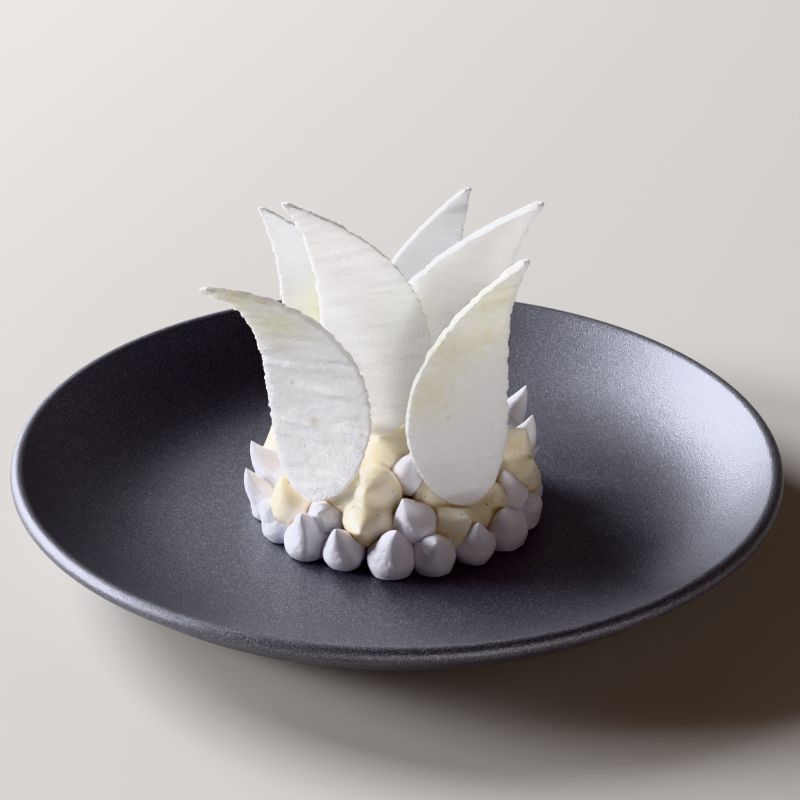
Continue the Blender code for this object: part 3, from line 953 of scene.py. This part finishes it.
blobs = []
for blob in planned:
    planes = [wall[:2] for wall in neighbour_walls(blob, planned)]
    blobs.append(blob._replace(tip=cleared_tip(blob, solid_walls(blob, obstacles) + planes)))
print("tips turned away:", sum(blob.tip != plan.tip for blob, plan in zip(blobs, planned)))

# %% [markdown]
# ## Piping
#
# A drop is a ball that the nozzle draws out into a tip as it lifts off. That
# leaves its traces: the tip is bent a little to one side, a crease runs down from
# it where the last of the mix folded over, and faint rings lie round the body.
# The drops of the foot row creep a little over the plate. Cream is softer than
# meringue, so its tips are shorter. Each piece is a ball whose radius changes
# with the angle off its tip. Sculpting would give such forms too, but a formula
# gives fifty of them, each a little different.
#
# The drops are piped first and keep their round bodies. Only drops of one row
# flatten each other. A piece that comes later settles on the earlier ones: its
# points are drawn back towards its centre until they are just under the skin of
# the earlier piece, so the two meet in one clean line.

# %% Piped forms
PEAK_WIDTH = 17                     # degrees
PEAK_POWER = 1.2
SHOULDER = {"m": 0.14, "c": 0.05}   # how far the flank under the tip falls in, in radii
SHOULDER_AT = 50                    # degrees off the tip
SHOULDER_WIDTH = 25                 # degrees
STEEP_FLANK, SLOW_FLANK = 0.22, 1.0   # widths of the crease's two flanks, in radians
FADE_AT = 0.62                      # share of the way to the far side where crease and rings end
BUMP_SIZE = 0.8                     # of the large unevenness, in radii
DIMPLE_SIZE, DIMPLE_DEPTH = 0.22, 0.03
RING_COUNT, RING_DEPTH = 21, 0.0025   # rings in a full turn, and their depth in radii
RING_WANDER = 2                     # how far they shift on the way round, in radians of a ring
SOFT_PRESS = 0.22 * MM              # rounding where a piece is pressed flat
SKIRT = 0.7 * MM                    # how far and how high a drop's foot creeps over the plate
SKIRT_LOBE = 0.5                    # size of the lobes in which it creeps, in radii
SKIRT_MEAN = 0.7                    # of SKIRT, how far it creeps where the noise is 0
DROP_SEED, DOLLOP_SEED = 100, 200   # first of the random patterns of the drops and dollops
UNDER_SKIN = 0.5 * MM               # how far a later piece sinks into an earlier one
DRAW_BACK = 0.95                    # step by which its points are drawn towards its centre
DRAW_STEPS = 50
BLOB_ROWS = 64
BLOB_COLUMNS = 72
BLOB_ROW_CROWDING = 1.35
print("tips reach", {kind: 1 + peak for kind, peak in PEAKS.items()}, "radii from the centre")

# %% Touches
# crease: height of the fold in radii. crease_at: degrees round the tip, 0 on the
# upper side. twist: degrees it turns on the way down. bend: of the tip, in radii,
# towards bend_at. lumps: unevenness, in radii.
Touch = namedtuple("Touch", "crease crease_at twist bend bend_at lumps")
# The drops that are seen best: what differs from the values that are drawn for them
OWN_TOUCH = {
    ("foot", 0): {"bend": 0.30, "bend_at": 10},
    ("foot", 2): {"crease": 0.16, "crease_at": 215, "twist": -15, "bend": 0.05},
    ("foot", 4): {"crease": 0.07, "crease_at": 175, "twist": 10},
    ("foot", 5): {"crease": 0.12, "crease_at": 160, "twist": 30},
    ("foot", 6): {"crease": 0.14, "crease_at": 250, "twist": 25},
    ("lower", 1): {"bend": 0.34, "bend_at": 0},
    ("lower", 5): {"crease": 0.08, "crease_at": 120, "twist": 10, "bend": 0.1, "bend_at": 90},
    ("lower", 10): {"bend": 0.36, "bend_at": 0},
    ("lower", 11): {"bend": 0.36, "bend_at": 0},
    ("upper", 2): {"crease": 0.13, "crease_at": 190, "twist": 25},
}


def drawn_touch(blob, draw):
    soft = blob.kind == "c"
    touch = {"crease": draw.uniform(0.05, 0.12) if soft else draw.uniform(0.05, 0.14),
             "crease_at": draw.uniform(0, 360),
             "twist": draw.uniform(20, 80) * draw.choice((-1, 1)),
             "bend": draw.uniform(0.05, 0.2), "bend_at": draw.uniform(0, 360),
             "lumps": draw.uniform(0.05, 0.09) if soft else draw.uniform(0.03, 0.06)}
    touch.update(OWN_TOUCH.get(blob.place, {}))
    return Touch(**touch)


print("pieces with their own touch:", len(OWN_TOUCH))


# %% Shape of one piece
def tip_share(off_tip):
    """How much of the tip's length is there, by the angle off the tip in radians."""
    return np.exp(-(np.degrees(off_tip) / PEAK_WIDTH) ** PEAK_POWER)


def profile(blob, off_tip):
    """Distance of the skin from the centre in radii: a ball, fallen in round a drawn tip."""
    fall = np.exp(-((np.degrees(off_tip) - SHOULDER_AT) / SHOULDER_WIDTH) ** 2)
    return 1 + blob.peak * tip_share(off_tip) - SHOULDER[blob.kind] * fall


def depth_in(other, points):
    """How deep points lie under the skin of another piece, negative outside it."""
    towards = points - np.array(other.centre)
    apart = np.linalg.norm(towards, axis=-1)
    off_tip = np.arccos(np.clip(towards @ np.array(other.tip) / np.maximum(apart, WELD), -1, 1))
    return other.radius * profile(other, off_tip) - apart


def drawn_back(points, blob, earlier):
    """The points, each drawn towards the centre until it is no deeper than UNDER_SKIN."""
    centre = np.array(blob.centre)
    share = np.ones(points.shape[:-1])
    for _ in range(DRAW_STEPS if earlier else 0):
        here = centre + points * share[..., None]
        deepest = np.max([depth_in(other, here) for other in earlier], axis=0)
        share = np.where(deepest > UNDER_SKIN, share * DRAW_BACK, share)
    return points * share[..., None]


print("a later piece sinks", UNDER_SKIN / MM, "mm into an earlier one")


# %% Creases, rings and creeping foot
def traces(touch, ball, off_tip, turn, seed):
    """What crease, unevenness and rings add to the radius, in radii."""
    line = math.radians(touch.crease_at) + math.radians(touch.twist) * off_tip
    off_line = (turn - line + math.pi) % math.tau - math.pi
    crease = np.exp(-(off_line / np.where(off_line > 0, STEEP_FLANK, SLOW_FLANK)) ** 2)
    fade = np.clip(np.sin(np.clip(off_tip, 0, math.pi * FADE_AT) / FADE_AT), 0, 1)
    bumps = touch.lumps * clouds(ball, BUMP_SIZE, seed) * np.sin(off_tip) ** 0.5
    dimples = DIMPLE_DEPTH * clouds(ball, DIMPLE_SIZE, seed + 1)
    rings = RING_DEPTH * np.sin(off_tip * RING_COUNT + RING_WANDER * np.sin(turn + seed))
    return (touch.crease * crease + dimples + rings) * fade + bumps


def creep(points, blob, seed):
    """Spread the foot of a drop over the plate, in uneven lobes."""
    above = points[..., 2] + blob.centre.z - WELL_HEIGHT - GAP
    lobes = SKIRT_MEAN + clouds(points / blob.radius, SKIRT_LOBE, seed + 2)
    spread = SKIRT * np.exp(-(above / SKIRT) ** 2) * lobes
    flat = np.linalg.norm(points[..., :2], axis=-1, keepdims=True)
    points[..., :2] *= 1 + spread[..., None] / np.maximum(flat, blob.radius / 2)


print("rings lie", round(360 / RING_COUNT, 1), "degrees apart")


# %% Points of one piece
def blob_points(blob, touch, walls, earlier, seed):
    """Rows of points over one piece, from its tip to the far side, in metres."""
    rows = np.linspace(0, 1, BLOB_ROWS) ** BLOB_ROW_CROWDING * math.pi
    columns = np.linspace(0, math.tau, BLOB_COLUMNS, endpoint=False)
    off_tip, turn = np.meshgrid(rows, columns, indexing="ij")
    across = np.sin(off_tip)
    ball = np.stack([across * np.cos(turn), across * np.sin(turn), np.cos(off_tip)], axis=-1)
    points = ball * (profile(blob, off_tip) + traces(touch, ball, off_tip, turn, seed))[..., None]
    bend = math.radians(touch.bend_at)
    aside = np.array([math.cos(bend), math.sin(bend), 0])
    points += aside * (touch.bend * tip_share(off_tip) ** 2)[..., None]
    upper = (UP - blob.tip * blob.tip.z).normalized()
    axes = np.array([upper, blob.tip.cross(upper), blob.tip])
    points = points @ axes * blob.radius
    for towards, limit in walls:
        beyond = points @ np.array(towards) - limit
        back = SOFT_PRESS * np.logaddexp(0, beyond / SOFT_PRESS)
        points -= back[..., None] * np.array(towards)
    if blob.place[0] == "foot":
        creep(points, blob, seed)
    return drawn_back(points, blob, earlier) + np.array(blob.centre)


print("a piece has", BLOB_ROWS * BLOB_COLUMNS, "points")

# %% [markdown]
# Piped meringue is dense and smooth like satin paint, a little blue in the shade,
# with light travelling a short way under it. Vanilla cream is ivory, wetter, and
# lets light in deeper, which is why its shade turns warm and not grey. Where it
# lies low, over the dome and along the drops, its colour turns orange: partly
# curd showing through thin cream, partly painted shade in the valleys between
# the pieces. That share comes with the mesh as a mark, since only the shapes
# know it.

# %% Meringue and cream finishes
piped = Finish("piped_meringue", {"Subsurface Weight": 0.2, "Subsurface Scale": 0.0025,
                                  "Subsurface Radius": (1.0, 0.95, 0.9), "Specular IOR Level": 0.4})
piped.vary({
    "Base Color": piped.blend(piped.grain(5 * MM), (0.85, 0.845, 0.93), (0.90, 0.895, 0.95)),
    "Roughness": 0.42 + 0.16 * piped.grain(2.5 * MM),
    "Normal": piped.relief(0.2 * piped.grain(1.1 * MM, 3)),
})
cream = Finish("vanilla_cream", {"Subsurface Weight": 0.5, "Subsurface Scale": 0.0035,
                                 "Subsurface Radius": (1.0, 0.85, 0.45), "Specular IOR Level": 0.5})
ivory = cream.blend(cream.step(cream.grain(7 * MM), 0.3, 0.7),
                    (0.92, 0.82, 0.60), (0.94, 0.87, 0.73))
cream.vary({
    # curd orange where the cream is thin, with painted shade in the valleys along the drops
    "Base Color": cream.blend(0.8 * cream.mark("thin_and_painted_shade") * cream.step(cream.grain(5 * MM), 0.4, 0.6),
                              ivory, (0.74, 0.38, 0.08)),
    "Roughness": 0.30 + 0.14 * cream.grain(3 * MM),
    "Normal": cream.relief(0.04 * cream.grain(1.4 * MM, 2)),
})
print("finishes:", piped.material.name, "and", cream.material.name)

# %% Pipe the meringue drops
NEAR = 1.65                         # two pieces touch only within this share of both radii
touch_draw = random.Random(RANDOM_SEED)
touches = [drawn_touch(blob, touch_draw) for blob in blobs]


def touching(blob, others):
    """The others that are near enough to touch the piece."""
    return [other for other in others
            if (other.centre - blob.centre).length < NEAR * (blob.radius + other.radius)]


def pipe_drop(number, blob, touch, drops):
    row = blob.place[0]
    beside = neighbour_walls(blob, [other for other in drops if other.place[0] == row])
    walls = solid_walls(blob, obstacles)
    walls += [(towards, limit + GAP / 2) for towards, limit, _ in beside]
    earlier = touching(blob, [other for other in drops[:number] if other.place[0] != row])
    node = f"meringue_drop_{number + 1:02d}"
    points = blob_points(blob, touch, walls, earlier, DROP_SEED + number)
    dress(skin(f"piped_{node}", points, piped), node)


drops = [blob for blob in blobs if blob.kind == "m"]
drop_touches = [touch for blob, touch in zip(blobs, touches) if blob.kind == "m"]
for number, (blob, touch) in enumerate(zip(drops, drop_touches)):
    pipe_drop(number, blob, touch, drops)
print("piped:", len(drops), "meringue drops")

# %% [markdown]
# The cream comes last. Soft dollops flow together where they touch, so they are
# piped one by one, joined, and turned into one skin by a voxel remesh. A few
# rounds of smoothing then fill the sharp valleys between them, as cream does. A
# boolean union would keep the valleys sharp. The finished skin stands for all the
# dollops' solids at once.

# %% Thin places in the cream, and painted shade in its valleys
# The cream turns curd orange where it lies low over the dome and along the drops: partly curd that shows
# through thin cream, partly painted shade in the valleys between the pieces.
THIN_CREAM = 6 * MM                 # over the curd
THIN_POWER = 1.5                    # over 1 keeps the shine to the thinnest places
SEAM = 0.9 * MM                     # width of the thin edge along a drop


def thinness_and_painted_shade(mesh, drops):
    """Where the cream turns curd orange, from 0 to 1: close over the dome and along the drops, partly curd
    showing through and partly painted shade in the valleys.
    """
    size = np.array(CURD_HIGH - CURD_LOW) * (0.5, 0.5, 1)
    points = np.array([vertex.co for vertex in mesh.vertices])
    over = (np.linalg.norm((points - (0, 0, CURD_LOW.z)) / size, axis=-1) - 1) * size[0]
    beside = np.max([depth_in(blob, points) for blob in drops], axis=0)
    shine_and_shade = np.clip(1 - over / THIN_CREAM, 0, 1) ** THIN_POWER
    return np.maximum(shine_and_shade, np.exp(-(beside / SEAM) ** 2))


print("curd shines through cream under", THIN_CREAM / MM, "mm")

# %% Pipe the cream
CREAM_VOXEL = 0.55 * MM
CREAM_SMOOTHING = 9


def make_cream(dollops, drops):
    corners, faces = [], []
    for number, (blob, touch) in enumerate(dollops):
        walls = solid_walls(blob, obstacles)
        rows = blob_points(blob, touch, walls, touching(blob, drops), DOLLOP_SEED + number)
        piece = skin("dollop", rows, cream)
        first = len(corners)
        faces += [[corner + first for corner in face.vertices] for face in piece.data.polygons]
        corners += [tuple(vertex.co) for vertex in piece.data.vertices]
        bpy.data.objects.remove(piece)
    mesh = bpy.data.meshes.new("piped_cream")
    mesh.from_pydata(corners, [], faces)
    mesh.materials.append(cream.material)
    joined = bpy.data.objects.new("piped_cream", mesh)
    scene.collection.objects.link(joined)
    union = joined.modifiers.new("union", "REMESH")
    union.mode = "VOXEL"
    union.voxel_size = CREAM_VOXEL
    union.use_smooth_shade = True
    flow = joined.modifiers.new("flow", "SMOOTH")
    flow.iterations = CREAM_SMOOTHING
    seen = joined.evaluated_get(bpy.context.evaluated_depsgraph_get())
    joined.data = bpy.data.meshes.new_from_object(seen)
    joined.modifiers.clear()
    # the mark carries curd showing through and painted shade in the valleys
    thin_and_painted_shade = joined.data.attributes.new("thin_and_painted_shade", "FLOAT", "POINT")
    thin_and_painted_shade.data.foreach_set("value", thinness_and_painted_shade(joined.data, drops))
    return joined


dollops = [(blob, touch) for blob, touch in zip(blobs, touches) if blob.kind == "c"]
cream_piece = make_cream(dollops, drops)
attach(cream_piece, "root")
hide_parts(*[f"cream_dollop_{number + 1:02d}" for number in range(len(dollops))])
print("cream:", len(cream_piece.data.polygons), "faces from", len(dollops), "dollops")

# %% [markdown]
# ## Vanilla seeds
#
# Black vanilla seeds of about half a millimetre are sprinkled through the cream.
# Only those at the surface show. They are tiny balls, sunk by half into the
# cream, joined into one mesh so that they don't count as a hundred pieces.

# %% Seeds
SEED_RADIUS = 0.24 * MM
SEED_COUNT = 130
SEED_SIZES = (0.6, 1.2)             # smallest and largest, as shares of the radius
LOWEST_FACING = -0.3                # seeds lie where the skin faces up more than this

husk = Finish("vanilla_seed", {"Roughness": 0.4})
husk.vary({
    "Base Color": husk.blend(husk.grain(0.4 * MM), (0.010, 0.006, 0.004), (0.035, 0.02, 0.012)),
})


def make_seeds():
    draw = random.Random(RANDOM_SEED)
    outside = [vertex.co for vertex in cream_piece.data.vertices if vertex.normal.z > LOWEST_FACING]
    shape = bmesh.new()
    for _ in range(SEED_COUNT):
        radius = SEED_RADIUS * draw.uniform(*SEED_SIZES)
        made = bmesh.ops.create_icosphere(shape, subdivisions=1, radius=radius)
        bmesh.ops.translate(shape, verts=made["verts"], vec=draw.choice(outside))
    mesh = bpy.data.meshes.new("vanilla_seeds")
    shape.to_mesh(mesh)
    shape.free()
    mesh.shade_smooth()
    mesh.materials.append(husk.material)
    seeds = bpy.data.objects.new("vanilla_seeds", mesh)
    scene.collection.objects.link(seeds)
    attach(seeds, "root")
    return seeds


seeds = make_seeds()
print("seed triangles:", len(seeds.data.polygons))

# %% [markdown]
# ## Sizes and the end
#
# The box of the solids and the box of the dressed dessert are worked out, and the
# size of the dressed one is printed.

# %% Sizes
boxes = {"cad": [list(corner) for corner in CAD_BOX], "visual": [list(corner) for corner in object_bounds()]}
print("dressed box, mm:", [round((high - low) / MM, 1) for low, high in zip(*boxes["visual"])])
